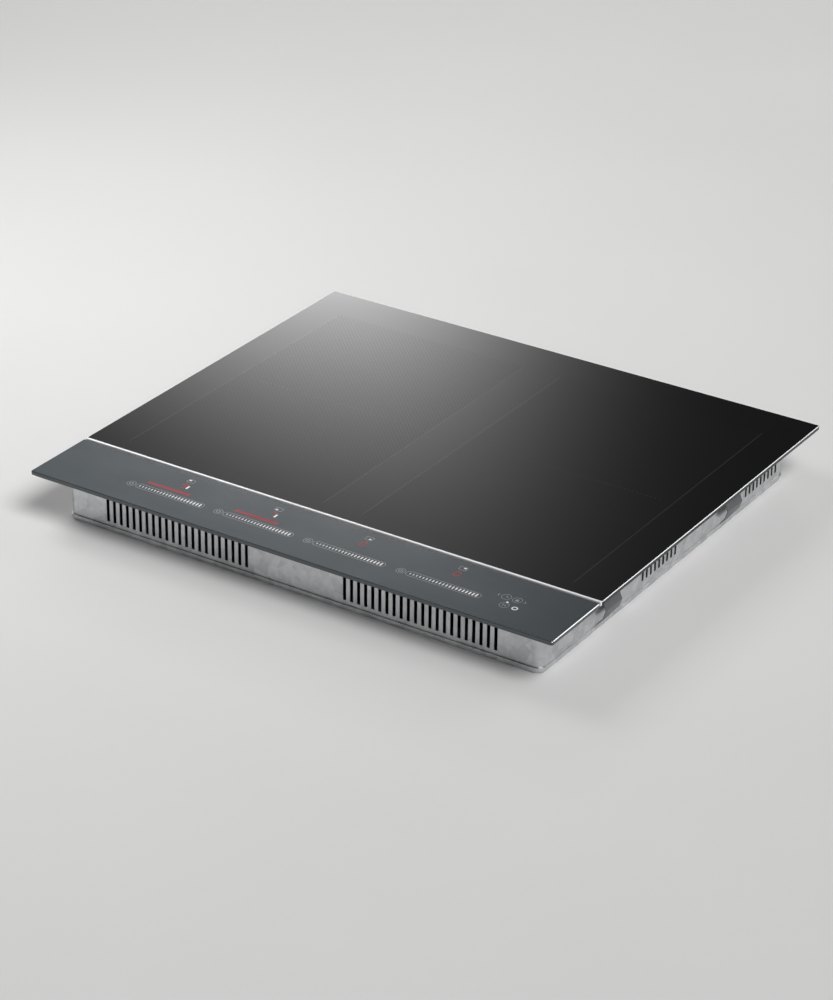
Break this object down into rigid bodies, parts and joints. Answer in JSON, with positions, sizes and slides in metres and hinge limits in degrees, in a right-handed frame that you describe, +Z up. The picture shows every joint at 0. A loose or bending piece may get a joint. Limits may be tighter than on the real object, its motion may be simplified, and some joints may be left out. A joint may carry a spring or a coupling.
{
  "type": "electric induction cooktop",
  "caption": "Built-in induction hob with a black glass top, grey touch-control strip, bright trim, floating coil decks, fans, clips and a hinged terminal cover.",
  "frame": {"origin": "centre of the glass outline at the worktop plane, on the underside of the rim seal", "axes": "+X to the user's right along the long side, +Y to the back, +Z up; the control strip is at the front, -Y"},
  "size_m": [0.6, 0.53, 0.0565],
  "materials": {
    "black_glass": "polished black ceramic glass",
    "grey_glass": "polished grey ceramic glass",
    "trim_metal": "brushed bright strip",
    "seal_rubber": "soft matt foam rubber",
    "frame_steel": "matt black paint",
    "tray_steel": "galvanised sheet",
    "spring_steel": "bright spring steel",
    "screw_steel": "zinc plated",
    "copper": "enamelled copper strand",
    "former_plastic": "glass-filled plastic",
    "ferrite": "sintered, matt",
    "pad_sheet": "mica paper",
    "coil_aluminium": "plain sheet",
    "board_green": "solder mask",
    "sink_aluminium": "extruded",
    "chip_plastic": "moulded epoxy",
    "capacitor_plastic": "moulded case",
    "carrier_plastic": "moulded, flame retardant",
    "fan_plastic": "moulded",
    "key_foam": "conductive foam",
    "display_plastic": "tinted display window",
    "ribbon_grey": "flat cable jacket",
    "terminal_plastic": "moulded polyamide",
    "terminal_brass": "plain brass",
    "bush_rubber": "soft rubber",
    "lead_jacket": "silicone jacket",
    "label_film": "blank satin film"
  },
  "bodies": {
    "case": {"cooking_glass": "black_glass", "control_glass": "grey_glass", "trim_strip": "trim_metal", "worktop_seal": "seal_rubber", "glass_frame": "frame_steel", "base_tray": "tray_steel", "case_screws": "screw_steel", "rating_plate": "label_film", "clip_brackets": "spring_steel", "board_screws": "screw_steel", "power_semiconductors": "chip_plastic", "film_capacitors": "capacitor_plastic", "board_chokes": "copper", "control_carrier": "carrier_plastic", "touch_board": "board_green", "touch_pads": "key_foam", "display_modules": "display_plastic", "ribbon_cable": "ribbon_grey", "terminal_box": "carrier_plastic", "terminal_block": "terminal_plastic", "terminal_screws": "terminal_brass", "cover_hinge_pin": "screw_steel", "cable_bush": "bush_rubber", "cable_clamp": "carrier_plastic", "mains_leads": "lead_jacket", "coil_leads_left": "lead_jacket", "plate_springs_left": "spring_steel", "board_carrier_left": "carrier_plastic", "power_board_left": "board_green", "heat_sink_left": "sink_aluminium", "fan_housing_left": "fan_plastic", "coil_leads_right": "lead_jacket", "plate_springs_right": "spring_steel", "board_carrier_right": "carrier_plastic", "power_board_right": "board_green", "heat_sink_right": "sink_aluminium", "fan_housing_right": "fan_plastic"},
    "deck_left": {"coil_plate_left": "coil_aluminium", "winding_left_front": "copper", "winding_left_rear": "copper", "coil_former_left_front": "former_plastic", "coil_former_left_rear": "former_plastic", "ferrite_bars_left": "ferrite", "glass_pads_left": "pad_sheet", "heat_sensors_left": "terminal_plastic"},
    "deck_right": {"coil_plate_right": "coil_aluminium", "winding_right_front": "copper", "winding_right_rear": "copper", "coil_former_right_front": "former_plastic", "coil_former_right_rear": "former_plastic", "ferrite_bars_right": "ferrite", "glass_pads_right": "pad_sheet", "heat_sensors_right": "terminal_plastic"},
    "fan_left": {"impeller_left": "fan_plastic"},
    "fan_right": {"impeller_right": "fan_plastic"},
    "cover": {"terminal_cover": "fan_plastic"},
    "clip_left_front": {"clip_left_front": "spring_steel"},
    "clip_left_rear": {"clip_left_rear": "spring_steel"},
    "clip_right_front": {"clip_right_front": "spring_steel"},
    "clip_right_rear": {"clip_right_rear": "spring_steel"}
  },
  "joints": [
    {"name": "coil_deck_left_float", "type": "slide", "parent": "case", "child": "deck_left", "axis": [0, 0, 1], "range_m": [-0.0025, 0], "stiffness_N_per_m": 12000, "springref_m": 0.004, "deforming": ["plate_springs_left", "coil_leads_left"]},
    {"name": "coil_deck_right_float", "type": "slide", "parent": "case", "child": "deck_right", "axis": [0, 0, 1], "range_m": [-0.0025, 0], "stiffness_N_per_m": 12000, "springref_m": 0.004, "deforming": ["plate_springs_right", "coil_leads_right"]},
    {"name": "fan_left_spin", "type": "hinge", "parent": "case", "child": "fan_left", "pos_m": [-0.141, 0.166, -0.035], "axis": [0, 0, 1], "continuous": true},
    {"name": "fan_right_spin", "type": "hinge", "parent": "case", "child": "fan_right", "pos_m": [0.141, 0.166, -0.035], "axis": [0, 0, 1], "continuous": true},
    {"name": "terminal_cover_swing", "type": "hinge", "parent": "case", "child": "cover", "pos_m": [-0.02, 0.2424, -0.0105], "axis": [1, 0, 0], "range_deg": [0, 85]},
    {"name": "clip_left_front_flex", "type": "hinge", "parent": "case", "child": "clip_left_front", "pos_m": [-0.2754, -0.12, -0.015], "axis": [0, -1, 0], "range_deg": [0, 7], "stiffness_Nm_per_rad": 13},
    {"name": "clip_left_rear_flex", "type": "hinge", "parent": "case", "child": "clip_left_rear", "pos_m": [-0.2754, 0.12, -0.015], "axis": [0, -1, 0], "range_deg": [0, 7], "stiffness_Nm_per_rad": 13},
    {"name": "clip_right_front_flex", "type": "hinge", "parent": "case", "child": "clip_right_front", "pos_m": [0.2754, -0.12, -0.015], "axis": [0, 1, 0], "range_deg": [0, 7], "stiffness_Nm_per_rad": 13},
    {"name": "clip_right_rear_flex", "type": "hinge", "parent": "case", "child": "clip_right_rear", "pos_m": [0.2754, 0.12, -0.015], "axis": [0, 1, 0], "range_deg": [0, 7], "stiffness_Nm_per_rad": 13}
  ]
}
